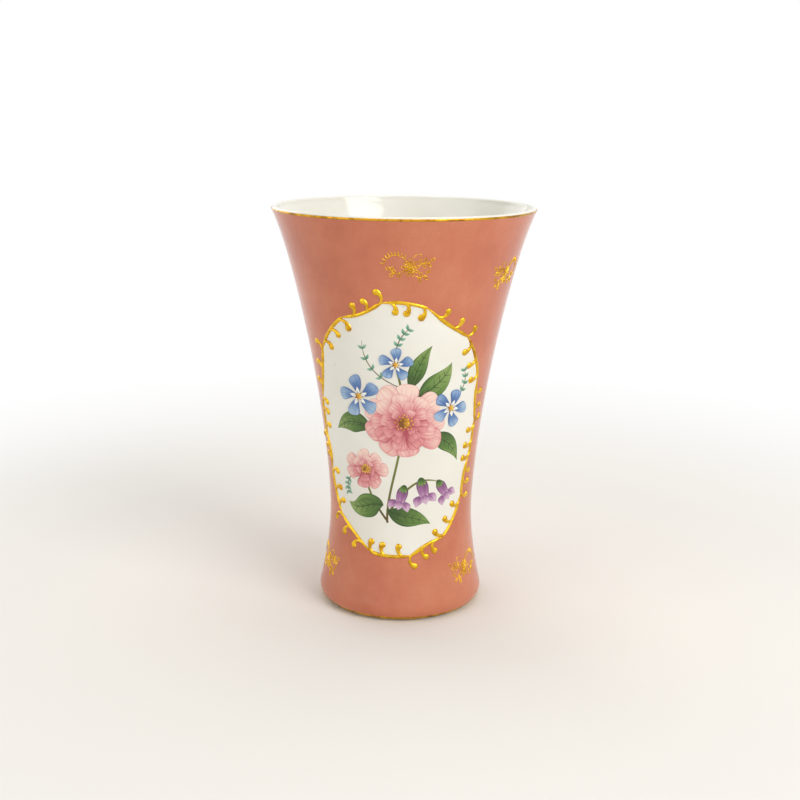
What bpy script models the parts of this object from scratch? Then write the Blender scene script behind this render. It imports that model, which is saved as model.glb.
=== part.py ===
"""Round glazed porcelain vase: a trumpet body, a coloured ground with a bare medallion, raised gilding.

The vase stands on the XY plane with its axis on Z, and its decorated front faces -Y.
Every layer is placed from the porcelain's own profile, so all of it follows a change of shape.
"""
import math

import bmesh
import bpy
from mathutils import Vector

# Porcelain body, metres
HEIGHT = 0.200
RIM_RADIUS = 0.0640
WAIST_RADIUS = 0.0355
WAIST_HEIGHT = 0.048
FOOT_RADIUS = 0.0427
BASE_RADIUS = 0.0364
TOE_HEIGHT = 0.009
LIP_FLARE = 0.0023
WALL = 0.0035
LIP_WALL = 0.0020
FLOOR_HEIGHT = 0.008
FLOOR_FILLET = 0.007
STAND_WIDTH = 0.005
RECESS_DEPTH = 0.0025
RECESS_SLOPE = 0.003

# How sharply the wall bends, as powers of the distance from the waist, and thins towards the lip
FLARE_POWER = 1.6
LIP_POWER = 12
FOOT_POWER = 1.8
TOE_POWER = 3
THINNING_POWER = 2

# Layers on the porcelain, each held off what it lies on by the seat gap
SEAT_GAP = 0.0003
COAT_THICKNESS = 0.0003
BAND_THICKNESS = 0.0004
RIM_BAND_HEIGHT = 0.0010
RIM_BAND_ANGLE = math.radians(35)
FOOT_BAND_START = 0.0010
FOOT_BAND_HEIGHT = 0.0024

# Medallion: an oval window in the coloured ground
MEDALLION_HALF_ANGLE = math.radians(65)
MEDALLION_BOTTOM = 0.033
MEDALLION_TOP = 0.161
UPPER_OVAL_POWER = 1.85
LOWER_OVAL_POWER = 2.45
MEDALLION_DIP_SHARE = 0.042

# Scroll border: strokes laid end to end round the medallion, clockwise, in turn inside it and outside it
STROKE_START_ANGLE = math.radians(97.5)
STROKE_SHARES = (27, 30, 27, 25, 15, 21, 33, 28, 23, 38, 28, 16, 18, 31, 26, 25)
STROKE_COUNT = len(STROKE_SHARES)
LINE_TRIM_SHARE = 0.0125
CURL_COUNT = 3
INNER_CURL_SHARE = 0.05
OUTER_CURL_SHARE = 0.15
CURL_SPACING_SHARE = 0.35
LINE_WIDTH = 0.0019
LINE_HEIGHT = 0.0009
LINE_START_SHARE = 0.55
CURL_LENGTH = 0.0075
CURL_GROWTH_SHARE = 0.07
CURL_ANGLE = math.radians(143)
CURL_BEND_POWER = 1.4
CURL_WIDTH = 0.0012
CURL_HEIGHT = 0.0010
DOT_RADIUS = 0.0019
DOT_HEIGHT = 0.0014
DOT_POWER = 2
CURL_LIFT = 0.00008

# Fineness of the facets
SEGMENT_COUNT = 48
FLARE_RING_COUNT = 10
FOOT_RING_COUNT = 4
TOE_RING_COUNT = 4
LIP_RING_COUNT = 4
FILLET_RING_COUNT = 3
LINE_SPAN_COUNT = 5
CURL_SPAN_COUNT = 4
DOT_SPAN_COUNT = 2
BEAD_SPAN_COUNT = 4
WINDOW_STEP_COUNT = 4

# How far in front the tip of the window's cutter lies, in rim radii
TIP_REACH_RATIO = 5

PORCELAIN = ((0.86, 0.86, 0.82), 0.12, 0.0)
PINK_ENAMEL = ((0.56, 0.20, 0.13), 0.15, 0.0)
GILDING = ((0.83, 0.56, 0.07), 0.25, 1.0)


def clear_scene():
    """Remove whatever the open file holds."""
    for item in list(bpy.data.objects):
        bpy.data.objects.remove(item, do_unlink=True)


def add_object(name, mesh_data):
    """Turn a bmesh into a named object of the scene."""
    bmesh.ops.recalc_face_normals(mesh_data, faces=mesh_data.faces)
    mesh = bpy.data.meshes.new(name)
    mesh_data.to_mesh(mesh)
    mesh_data.free()
    mesh.shade_smooth()
    mesh.set_sharp_from_angle(angle=math.radians(40))
    item = bpy.data.objects.new(name, mesh)
    bpy.context.scene.collection.objects.link(item)
    return item


def paint(item, finish):
    """Give an object a material of its own."""
    colour, roughness, metallic = finish
    material = bpy.data.materials.new(item.name)
    material.use_nodes = True
    shader = material.node_tree.nodes["Principled BSDF"]
    shader.inputs["Base Color"].default_value = (*colour, 1.0)
    shader.inputs["Roughness"].default_value = roughness
    shader.inputs["Metallic"].default_value = metallic
    item.data.materials.clear()
    item.data.materials.append(material)


# Profile of the porcelain

def outer_radius(z):
    """Radius of the porcelain's outer face at a height."""
    if z >= WAIST_HEIGHT:
        rise = (z - WAIST_HEIGHT) / (HEIGHT - WAIST_HEIGHT)
        flare = RIM_RADIUS - WAIST_RADIUS - LIP_FLARE
        return WAIST_RADIUS + flare * rise ** FLARE_POWER + LIP_FLARE * rise ** LIP_POWER
    drop = (WAIST_HEIGHT - z) / WAIST_HEIGHT
    radius = WAIST_RADIUS + (FOOT_RADIUS - WAIST_RADIUS) * drop ** FOOT_POWER
    toe = max(0.0, 1 - z / TOE_HEIGHT)
    return radius - (FOOT_RADIUS - BASE_RADIUS) * toe ** TOE_POWER


def inner_radius(z):
    """Radius of the hollow at a height: the wall thins towards the lip."""
    return outer_radius(z) - WALL + (WALL - LIP_WALL) * (z / HEIGHT) ** THINNING_POWER


def lip_point(angle, lift):
    """Profile point on the rounded lip, from the outer wall at 0, held off it by a distance."""
    lip_radius = LIP_WALL / 2
    lip_centre = outer_radius(HEIGHT - lip_radius) - lip_radius
    reach = lip_radius + lift
    return lip_centre + reach * math.cos(angle), HEIGHT - lip_radius + reach * math.sin(angle)


def outer_normal(z):
    """Outward normal of the porcelain at a height, as (radial, upward)."""
    step = 0.0002
    low = max(0.0, z - step)
    high = min(HEIGHT, z + step)
    slope = (outer_radius(high) - outer_radius(low)) / (high - low)
    length = math.hypot(1, slope)
    return 1 / length, -slope / length


def lifted(z, lift):
    """Profile point (radius, height) held off the porcelain by a distance."""
    radial, upward = outer_normal(z)
    return outer_radius(z) + radial * lift, z + upward * lift


def surface_point(angle, z, lift):
    """Point in space at an angle from the front, held off the porcelain by a distance."""
    radius, height = lifted(z, lift)
    return Vector((radius * math.sin(angle), -radius * math.cos(angle), height))


def spaced(start, stop, steps):
    """Evenly spaced values, both ends included."""
    return [start + (stop - start) * step / steps for step in range(steps + 1)]


def wall_heights(bottom, top):
    """Heights of the rings on the outer face, closer together where it bends more."""
    levels = spaced(0, TOE_HEIGHT, TOE_RING_COUNT)
    levels += spaced(TOE_HEIGHT, WAIST_HEIGHT, FOOT_RING_COUNT)[1:]
    levels += spaced(WAIST_HEIGHT, HEIGHT, FLARE_RING_COUNT)[1:]
    clear = (top - bottom) / 100
    return [bottom] + [z for z in levels if bottom + clear < z < top - clear] + [top]


def lathe(name, profile, closed):
    """Turn a profile of (radius, height) points about Z."""
    mesh_data = bmesh.new()
    rings = []
    for radius, z in profile:
        if radius == 0:
            rings.append([mesh_data.verts.new((0, 0, z))] * SEGMENT_COUNT)
            continue
        angles = [2 * math.pi * step / SEGMENT_COUNT for step in range(SEGMENT_COUNT)]
        rings.append([mesh_data.verts.new((radius * math.sin(a), -radius * math.cos(a), z)) for a in angles])
    pairs = list(zip(rings, rings[1:]))
    if closed:
        pairs.append((rings[-1], rings[0]))
    for lower, upper in pairs:
        for step in range(SEGMENT_COUNT):
            following = (step + 1) % SEGMENT_COUNT
            corners = [lower[step], lower[following], upper[following], upper[step]]
            mesh_data.faces.new(list(dict.fromkeys(corners)))
    return add_object(name, mesh_data)


def build_body():
    """Hollow porcelain body with a rounded lip and a turned foot ring."""
    lip_height = HEIGHT - LIP_WALL / 2
    stand_inner = BASE_RADIUS - STAND_WIDTH
    profile = [(0, RECESS_DEPTH), (stand_inner - RECESS_SLOPE, RECESS_DEPTH), (stand_inner, 0)]
    profile += [(outer_radius(z), z) for z in wall_heights(0, lip_height)]
    profile += [lip_point(angle, 0) for angle in spaced(0, math.pi, LIP_RING_COUNT)[1:]]
    fillet_height = FLOOR_HEIGHT + FLOOR_FILLET
    inner_heights = wall_heights(fillet_height, lip_height)[:-1]
    profile += [(inner_radius(z), z) for z in reversed(inner_heights)]
    fillet_centre = inner_radius(fillet_height) - FLOOR_FILLET
    for angle in spaced(0, math.pi / 2, FILLET_RING_COUNT)[1:]:
        radius = fillet_centre + FLOOR_FILLET * math.cos(angle)
        profile.append((radius, fillet_height - FLOOR_FILLET * math.sin(angle)))
    profile.append((0, FLOOR_HEIGHT))
    body = lathe("vase_body", profile, closed=False)
    paint(body, PORCELAIN)


def build_layer(name, bottom, top, thickness, finish, lip_angles=()):
    """Thin turned layer that lies on the porcelain's outer face, and may go on over the lip."""
    heights = wall_heights(bottom, top)
    faces = []
    for lift in (SEAT_GAP, SEAT_GAP + thickness):
        faces.append([lifted(z, lift) for z in heights] + [lip_point(angle, lift) for angle in lip_angles])
    under, over = faces
    layer = lathe(name, under + over[::-1], closed=True)
    paint(layer, finish)
    return layer


# Medallion outline: a place on it is a share of one stroke's length

def stroke_side(index):
    """A stroke curls to the right of its travel, into the medallion, or to the left, out of it."""
    return -1 if index % 2 == 0 else 1


def border_point(index, share):
    """Angle and height on the outline: an oval, squarer below, that dips inwards along the outer strokes."""
    passed = sum(STROKE_SHARES[:index]) + share * STROKE_SHARES[index]
    turn = STROKE_START_ANGLE - 2 * math.pi * passed / sum(STROKE_SHARES)
    power = 2 / (UPPER_OVAL_POWER if math.sin(turn) > 0 else LOWER_OVAL_POWER)
    dip = MEDALLION_DIP_SHARE if stroke_side(index) > 0 else 0
    reach = 1 - dip * math.sin(math.pi * share)
    across = reach * math.copysign(abs(math.cos(turn)) ** power, math.cos(turn))
    upward = reach * math.copysign(abs(math.sin(turn)) ** power, math.sin(turn))
    middle = (MEDALLION_TOP + MEDALLION_BOTTOM) / 2
    half_height = (MEDALLION_TOP - MEDALLION_BOTTOM) / 2
    return MEDALLION_HALF_ANGLE * across, middle + half_height * upward


def step_along(angle, z, heading, distance):
    """Move over the wall by a distance; the heading is measured from level, anticlockwise."""
    upright_share, _ = outer_normal(z)
    z_next = z + distance * math.sin(heading) * upright_share
    return angle + distance * math.cos(heading) / outer_radius(z), z_next


def border_heading(index, share):
    """Direction of travel over the wall, clockwise round the medallion."""
    step = 0.005
    angle_before, z_before = border_point(index, share - step)
    angle_after, z_after = border_point(index, share + step)
    radius = outer_radius((z_before + z_after) / 2)
    return math.atan2(z_after - z_before, radius * (angle_after - angle_before))


def stroke_lift(index):
    """Strokes inside the medallion lie on the porcelain, the others on the coloured ground."""
    if stroke_side(index) < 0:
        return SEAT_GAP
    return SEAT_GAP + COAT_THICKNESS + SEAT_GAP


def cut_medallion(coat):
    """Open the window: its edge clears the inner strokes and runs under the middle of the outer ones."""
    edge = []
    for index in range(STROKE_COUNT):
        clear = LINE_WIDTH / 2 + SEAT_GAP if stroke_side(index) < 0 else 0
        for share in spaced(0, 1, WINDOW_STEP_COUNT):
            outward = border_heading(index, share) + math.pi / 2
            edge.append(step_along(*border_point(index, share), outward, clear))
    mesh_data = bmesh.new()
    reach = WALL
    near = [mesh_data.verts.new(surface_point(angle, z, -reach)) for angle, z in edge]
    far = [mesh_data.verts.new(surface_point(angle, z, reach)) for angle, z in edge]
    middle = (MEDALLION_TOP + MEDALLION_BOTTOM) / 2
    back_tip = mesh_data.verts.new((0, 0, middle))
    front_tip = mesh_data.verts.new((0, -TIP_REACH_RATIO * RIM_RADIUS, middle))
    for step in range(len(edge)):
        following = (step + 1) % len(edge)
        mesh_data.faces.new((near[step], near[following], far[following], far[step]))
        mesh_data.faces.new((near[following], near[step], back_tip))
        mesh_data.faces.new((far[step], far[following], front_tip))
    cutter = add_object("medallion_cutter", mesh_data)
    combine(coat, [cutter], "DIFFERENCE")


def combine(item, others, operation):
    """Join other solids to an object, or cut them from it, and remove them."""
    for other in others:
        modifier = item.modifiers.new(operation.lower(), "BOOLEAN")
        modifier.operation = operation
        modifier.object = other
    shape = item.evaluated_get(bpy.context.evaluated_depsgraph_get())
    old_mesh = item.data
    item.data = bpy.data.meshes.new_from_object(shape)
    item.modifiers.clear()
    bpy.data.meshes.remove(old_mesh)
    for other in others:
        bpy.data.objects.remove(other, do_unlink=True)


# Scroll border

def bead(name, path, lift):
    """Half-round bead along a path of (angle, z, heading, width, height) stations on the wall."""
    mesh_data = bmesh.new()
    section = [(-math.cos(bend) / 2, math.sin(bend)) for bend in spaced(0, math.pi, BEAD_SPAN_COUNT)]
    rings = []
    for angle, z, heading, width, height in path:
        ring = []
        for across, up in section:
            place = step_along(angle, z, heading + math.pi / 2, across * width)
            ring.append(mesh_data.verts.new(surface_point(*place, lift + up * height)))
        rings.append(ring)
    for ring, following in zip(rings, rings[1:]):
        for corner in range(len(section)):
            after = (corner + 1) % len(section)
            mesh_data.faces.new((ring[corner], ring[after], following[after], following[corner]))
    mesh_data.faces.new(rings[0])
    mesh_data.faces.new(reversed(rings[-1]))
    return add_object(name, mesh_data)


def line_path(index):
    """Main line of a stroke, thin where it starts."""
    path = []
    for share in spaced(LINE_TRIM_SHARE, 1 - LINE_TRIM_SHARE, LINE_SPAN_COUNT):
        size = min(1.0, LINE_START_SHARE + share)
        heading = border_heading(index, share)
        path.append((*border_point(index, share), heading, LINE_WIDTH * size, LINE_HEIGHT * size))
    return path


def curl_path(index, number):
    """Comma that leaves the line along its travel, bends ever tighter and swells to a round end."""
    first_root = INNER_CURL_SHARE if stroke_side(index) < 0 else OUTER_CURL_SHARE
    root = first_root + number * CURL_SPACING_SHARE
    angle, z = border_point(index, root)
    first_heading = border_heading(index, root)
    bend_total = stroke_side(index) * CURL_ANGLE
    length = CURL_LENGTH * (1 + number * CURL_GROWTH_SHARE)
    path = []
    for step in range(CURL_SPAN_COUNT + 1):
        share = step / CURL_SPAN_COUNT
        size = share ** DOT_POWER
        heading = first_heading + bend_total * share ** CURL_BEND_POWER
        width = CURL_WIDTH + (2 * DOT_RADIUS - CURL_WIDTH) * size
        path.append((angle, z, heading, width, CURL_HEIGHT + (DOT_HEIGHT - CURL_HEIGHT) * size))
        if step < CURL_SPAN_COUNT:
            travel = first_heading + bend_total * (share + 0.5 / CURL_SPAN_COUNT) ** CURL_BEND_POWER
            angle, z = step_along(angle, z, travel, length / CURL_SPAN_COUNT)
    for bend in spaced(0, math.radians(70), DOT_SPAN_COUNT)[1:]:
        place = step_along(angle, z, heading, DOT_RADIUS * math.sin(bend))
        size = math.cos(bend)
        path.append((*place, heading, 2 * DOT_RADIUS * size, DOT_HEIGHT * size))
    return path


def build_stroke(index):
    """One gilt stroke: its line and its curls, fused as one raised bead."""
    name = f"scroll_stroke_{index + 1:02d}"
    lift = stroke_lift(index)
    stroke = bead(name, line_path(index), lift)
    curls = []
    for number in range(CURL_COUNT):
        curls.append(bead(f"{name}_curl_{number}", curl_path(index, number), lift + CURL_LIFT))
    combine(stroke, curls, "UNION")
    paint(stroke, GILDING)


def main():
    """Build every layer of the vase."""
    clear_scene()
    build_body()
    rim_band_top = HEIGHT - LIP_WALL / 2
    rim_band_bottom = rim_band_top - RIM_BAND_HEIGHT
    foot_band_top = FOOT_BAND_START + FOOT_BAND_HEIGHT
    coat = build_layer(
        "ground_coat", foot_band_top + SEAT_GAP, rim_band_bottom - SEAT_GAP, COAT_THICKNESS, PINK_ENAMEL)
    cut_medallion(coat)
    paint(coat, PINK_ENAMEL)
    lip_angles = (RIM_BAND_ANGLE / 2, RIM_BAND_ANGLE)
    build_layer("rim_gilding", rim_band_bottom, rim_band_top, BAND_THICKNESS, GILDING, lip_angles)
    build_layer("foot_gilding", FOOT_BAND_START, foot_band_top, BAND_THICKNESS, GILDING)
    for index in range(STROKE_COUNT):
        build_stroke(index)


main()
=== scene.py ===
"""Looks of the porcelain vase: glaze, coloured ground, raised gilding and a painted bunch of flowers."""
import math
import random

import bmesh
import bpy
from mathutils import Euler, Matrix, Vector


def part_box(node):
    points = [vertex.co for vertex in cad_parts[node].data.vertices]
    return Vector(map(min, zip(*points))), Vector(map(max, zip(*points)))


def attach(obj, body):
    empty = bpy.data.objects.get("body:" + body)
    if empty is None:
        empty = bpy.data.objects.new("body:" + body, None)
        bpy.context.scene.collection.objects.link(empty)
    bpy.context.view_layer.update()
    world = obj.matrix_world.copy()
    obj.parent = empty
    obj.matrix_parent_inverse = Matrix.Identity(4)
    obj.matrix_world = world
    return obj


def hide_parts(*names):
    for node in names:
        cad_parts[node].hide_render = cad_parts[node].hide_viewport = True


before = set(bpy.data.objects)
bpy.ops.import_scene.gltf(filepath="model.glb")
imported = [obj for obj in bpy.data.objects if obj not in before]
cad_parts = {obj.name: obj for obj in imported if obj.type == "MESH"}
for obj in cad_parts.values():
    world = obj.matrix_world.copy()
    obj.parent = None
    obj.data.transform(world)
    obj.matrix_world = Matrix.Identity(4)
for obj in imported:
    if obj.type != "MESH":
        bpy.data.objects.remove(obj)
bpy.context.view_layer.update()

MM = 0.001

# Porcelain body, as in the solids
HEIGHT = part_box("vase_body")[1].z
RIM_RADIUS = 0.0640
WAIST_RADIUS = 0.0355
WAIST_HEIGHT = 0.048
FOOT_RADIUS = 0.0427
BASE_RADIUS = 0.0364
TOE_HEIGHT = 0.009
LIP_FLARE = 0.0023
WALL = 0.0035
LIP_WALL = 0.0020
FLOOR_HEIGHT = 0.008
FLOOR_FILLET = 0.007
STAND_WIDTH = 0.005
STAND_EDGE = 0.0004
RECESS_DEPTH = 0.0025
RECESS_SLOPE = 0.003
RECESS_MIDDLE = 0.004
FLARE_POWER = 1.6
LIP_POWER = 12
FOOT_POWER = 1.8
TOE_POWER = 3
THINNING_POWER = 2

# Layers, as distances off the solid's outer face
PORCELAIN_FACE = 0.00045
ENAMEL_FACE = 0.00060
BURIED = 0.00030
GILT_BAND = 0.00012

# Rounded lip
LIP_RADIUS = (LIP_WALL + PORCELAIN_FACE) / 2
LIP_HEIGHT = HEIGHT - LIP_RADIUS

# Gilt bands; a waver is a share of the band's height
RIM_BAND_HEIGHT = 0.0004
RIM_BAND_ANGLE = math.radians(24)
RIM_BAND_WAVER = 0.12
FOOT_BAND_START = 0.0010
FOOT_BAND_HEIGHT = 0.0024
FOOT_BAND_WAVER = 0.09
BAND_WAVES = (3, 7, 16, 29)
BAND_DOME_POWER = 0.5

# Medallion
MEDALLION_HALF_ANGLE = math.radians(65)
MEDALLION_BOTTOM = 0.033
MEDALLION_TOP = 0.161
UPPER_OVAL_POWER = 1.85
LOWER_OVAL_POWER = 2.45
MEDALLION_DIP_SHARE = 0.042
MEDALLION_MIDDLE = (MEDALLION_TOP + MEDALLION_BOTTOM) / 2

# Scroll border: strokes as shares of a turn, each a line with curls that end in dots
STROKE_START_ANGLE = math.radians(97.5)
STROKE_SHARES = (27, 30, 27, 25, 15, 21, 33, 28, 23, 38, 28, 16, 18, 31, 26, 25)
STROKE_COUNT = len(STROKE_SHARES)
CURL_COUNT = 3
INNER_CURL_SHARE = 0.14
OUTER_CURL_SHARE = 0.22
CURL_SPACING_SHARE = 0.36
LINE_WIDTH = 0.0019
LINE_HEIGHT = 0.0008
LINE_START_SHARE = 0.45
LINE_START_GROWTH = 2
LINE_END_SHARE = 0.6
LINE_END_GROWTH = 4
LINE_UNEVEN_SHARE = 0.07
LINE_UNEVEN_TURN = 9
CURL_LENGTH = 0.0066
CURL_GROWTH_SHARE = 0.07
CURL_ANGLE = math.radians(124)
CURL_SIZE_RANGE = (0.94, 1.06)
CURL_ANGLE_RANGE = (0.92, 1.08)
CURL_WIDTH = 0.0013
CURL_HEIGHT = 0.00085
DOT_RADIUS = 0.0017
DOT_HEIGHT = 0.0010
DOT_POWER = 3
DOT_CAP_ANGLE = math.radians(84)
DOT_CAP_POWER = 0.8

# Thin gold sprays: angle from the front in degrees, height in millimetres, and -1 where one is mirrored
SPRAYS = ((5, 178.5, 1), (66, 172, -1), (132, 174, 1), (198, 173, -1), (264, 170, 1),
          (63, 23, -1), (180, 23, 1), (291, 23, 1))
SPRAY_SCALE = 0.80
SPRAY_LINE = 0.00036
SPRAY_VEIN = 0.00024
SPRAY_BUD = 0.00050
SPRAY_HEIGHT = 0.00022
SPRAY_SINK = 0.00004
SPRAY_TIP_SHARE = 0.45
SPRAY_TIP_GROWTH = 4

# Painted flowers, with lengths in millimetres except the step from one coat to the next
COAT_STEP = 0.000006
MARK_CELL = 0.6
STEM_HALF_WIDTH = 0.55
TWIG_HALF_WIDTH = 0.24
RIB_HALF_WIDTH = 0.22
VEIN_HALF_WIDTH = 0.14
VEIN_START = 0.1
VEIN_SHARES = (0.22, 0.38, 0.54, 0.70)
VEIN_BOW_SHARE = 0.4
VEIN_BOW_LEAN = 0.6
VEIN_TIP_SHARE = 0.8
VEIN_TIP_LEAN = 0.9
SPRIG_SHARES = (0.3, 0.5, 0.7, 0.88)
SPRIG_LEAF_LENGTH = 3.0
SPRIG_LEAF_HALF_WIDTH = 0.75
SPRIG_LEAF_LEAN = 0.85
SPRIG_TONE_RANGE = (0.3, 0.7)
BLOSSOM_SQUASH = 0.9
PETAL_STAGGER = 0.37
PETAL_TURN_RANGE = (-0.1, 0.1)
PETAL_REACH_RANGE = (0.93, 1.06)
PETAL_SWAY_RANGE = (-0.2, 0.2)
PETAL_TONE = 0.46
PETAL_TONE_RISE = 0.17
PETAL_TONE_DROP = 0.08
PETAL_TONE_RANGE = (-0.08, 0.08)
STAMEN_COUNT = 22
STAMEN_RADIUS = 0.42
STAMEN_TURN = 2.4
STAMEN_TONE_RANGE = (0.4, 0.9)
PINWHEEL_PETALS = 5
PINWHEEL_TONE_RANGE = (0.35, 0.65)
PINWHEEL_GRAINS = 7
PINWHEEL_GRAIN_RADIUS = 0.3
PINWHEEL_GRAIN_TURN = 0.9

# Glaze and brushed enamel
SPECK_LEVEL = 0.835
SPECK_SHARE = 0.55
BARE_HEIGHT = 0.0001
BARE_RAGGEDNESS = 0.0006
BARE_ROUGHNESS = 0.75
GRAIN_LENGTH_SCALE = 1.6
GRAIN_TONE_SCALE = 37.0
GRAIN_SHADE = 0.45
TONE_SHADE = 0.5
CONTOUR_POWER = 14.0

# Colour sockets of the mix node
MIX_FIRST = 6
MIX_SECOND = 7
MIX_RESULT = 2

# Stage
FLOOR_HALF_WIDTH = 3.0
FLOOR_FRONT = -3.0
FLOOR_BEND_START = 1.2
FLOOR_BEND_RADIUS = 0.6
BACKDROP_TOP = 3.0
GLOW_START = 0.15
GLOW_END = 0.55
ROOM_STRENGTH = 0.45
ROOM_WHITE = (1.0, 0.99, 0.975)
KEY_WHITE = (1.0, 0.98, 0.95)
SOFT_WHITE = (1.0, 0.99, 0.97)

# Camera, fitted to the outline of the vase in the photograph
CAMERA_DISTANCE = 0.5813
CAMERA_HEIGHT = 0.2480
CAMERA_ASIDE = -0.0010
CAMERA_PITCH = math.radians(14.03)
CAMERA_ROLL = math.radians(0.60)
CAMERA_ROUND = math.radians(4.0)
CAMERA_LENS = 53.5
CAMERA_SENSOR = 36
CAMERA_NEAR = 0.01

# Fineness of the surfaces
SEGMENTS = 240
RECESS_STEPS = 6
TOE_STEPS = 24
WALL_STEPS = 150
LIP_STEPS = 24
HOLLOW_STEPS = 110
FILLET_STEPS = 12
FLOOR_SHARES = (0.8, 0.6, 0.4, 0.2, 0.0)
GROUND_STEPS = 320
GROUND_RINGS = 64
BAND_STEPS = 10
LINE_STEPS = 28
CURL_STEPS = 22
DOT_CAP_STEPS = 9
BORDER_ARCS = 10
SPRAY_STEPS = 10
SPRAY_ARCS = 5
MARK_CHORDS = 10
LEAST_LENGTH_STEPS = 6
LEAST_WIDTH_STEPS = 2
BACKDROP_STEPS = 16
NORMAL_STEP = 0.0002
HEADING_STEP = 0.005
CURVE_STEP = 0.01
SHARP_ANGLE = math.radians(50)
WELD_DISTANCE = 1e-7

chance = random.Random(11)


# Numbers

def spaced(start, stop, steps):
    """Evenly spaced values, both ends included."""
    return [start + (stop - start) * step / steps for step in range(steps + 1)]


def once_round(steps):
    """Evenly spaced angles, once round."""
    return [2 * math.pi * step / steps for step in range(steps)]


def mix(start, stop, share):
    """Value between two others."""
    return start + (stop - start) * share


# Profile of the porcelain

def outer_radius(z):
    """Radius of the solid's outer face at a height."""
    if z >= WAIST_HEIGHT:
        rise = (z - WAIST_HEIGHT) / (HEIGHT - WAIST_HEIGHT)
        flare = RIM_RADIUS - WAIST_RADIUS - LIP_FLARE
        return WAIST_RADIUS + flare * rise ** FLARE_POWER + LIP_FLARE * rise ** LIP_POWER
    drop = (WAIST_HEIGHT - z) / WAIST_HEIGHT
    radius = WAIST_RADIUS + (FOOT_RADIUS - WAIST_RADIUS) * drop ** FOOT_POWER
    toe = max(0.0, 1 - z / TOE_HEIGHT)
    return radius - (FOOT_RADIUS - BASE_RADIUS) * toe ** TOE_POWER


def inner_radius(z):
    """Radius of the hollow at a height: the wall thins towards the lip."""
    return outer_radius(z) - WALL + (WALL - LIP_WALL) * (z / HEIGHT) ** THINNING_POWER


def outer_normal(z):
    """Outward normal of the wall at a height, as (radial, upward)."""
    low = max(0.0, z - NORMAL_STEP)
    high = min(HEIGHT, z + NORMAL_STEP)
    slope = (outer_radius(high) - outer_radius(low)) / (high - low)
    length = math.hypot(1, slope)
    return 1 / length, -slope / length


def lifted(z, lift):
    """Profile point (radius, height) held off the solid by a distance."""
    radial, upward = outer_normal(z)
    return outer_radius(z) + radial * lift, z + upward * lift


def lip_point(angle, lift):
    """Profile point on the rounded lip, from the outer wall at 0, held off the solid by a distance."""
    centre = outer_radius(LIP_HEIGHT) + PORCELAIN_FACE - LIP_RADIUS
    reach = LIP_RADIUS + lift - PORCELAIN_FACE
    return centre + reach * math.cos(angle), LIP_HEIGHT + reach * math.sin(angle)


def turned(angle, profile_point):
    """Point in space of a profile point (radius, height), at an angle from the front."""
    radius, height = profile_point
    return Vector((radius * math.sin(angle), -radius * math.cos(angle), height))


def surface_point(angle, z, lift):
    """Point in space at an angle from the front, held off the solid by a distance."""
    return turned(angle, lifted(z, lift))


def step_along(angle, z, heading, distance):
    """Move over the wall by a distance; the heading is measured from level, anticlockwise."""
    upright_share, _ = outer_normal(z)
    z_next = z + distance * math.sin(heading) * upright_share
    return angle + distance * math.cos(heading) / outer_radius(z), z_next


# Meshes

def finish_mesh(mesh):
    """Smooth faces with crisp edges."""
    mesh.shade_smooth()
    mesh.set_sharp_from_angle(angle=SHARP_ANGLE)


class Shape:
    """Points and faces of one piece, with a brush map and a tone for each point."""

    def __init__(self):
        self.points = []
        self.faces = []
        self.marks = []
        self.tones = []

    def point(self, place, mark=(0.0, 0.0), tone=0.5):
        """Add a point and return its number."""
        self.points.append(place)
        self.marks.append(mark)
        self.tones.append(tone)
        return len(self.points) - 1

    def grid(self, rows, wrap=False, flip=False):
        """Join rows of point numbers with faces; a point that repeats makes a triangle."""
        for row, following in zip(rows, rows[1:]):
            count = len(row)
            for column in range(count if wrap else count - 1):
                after = (column + 1) % count
                corners = [row[column], row[after], following[after], following[column]]
                corners = list(dict.fromkeys(corners))
                self.faces.append(corners[::-1] if flip else corners)

    def build(self, name, material, slot, replaced=()):
        """Make the piece, set on the vase's one body."""
        mesh = bpy.data.meshes.new(name)
        mesh.from_pydata(self.points, [], self.faces)
        brush = mesh.uv_layers.new(name="brush")
        tone = mesh.attributes.new("tone", "FLOAT", "POINT")
        tone.data.foreach_set("value", self.tones)
        for corner in mesh.loops:
            brush.data[corner.index].uv = self.marks[corner.vertex_index]
        finish_mesh(mesh)
        mesh.materials.append(material)
        piece = bpy.data.objects.new(name, mesh)
        bpy.context.scene.collection.objects.link(piece)
        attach(piece, "root")
        if replaced:
            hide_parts(*replaced)
        return piece


# Node materials

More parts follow.
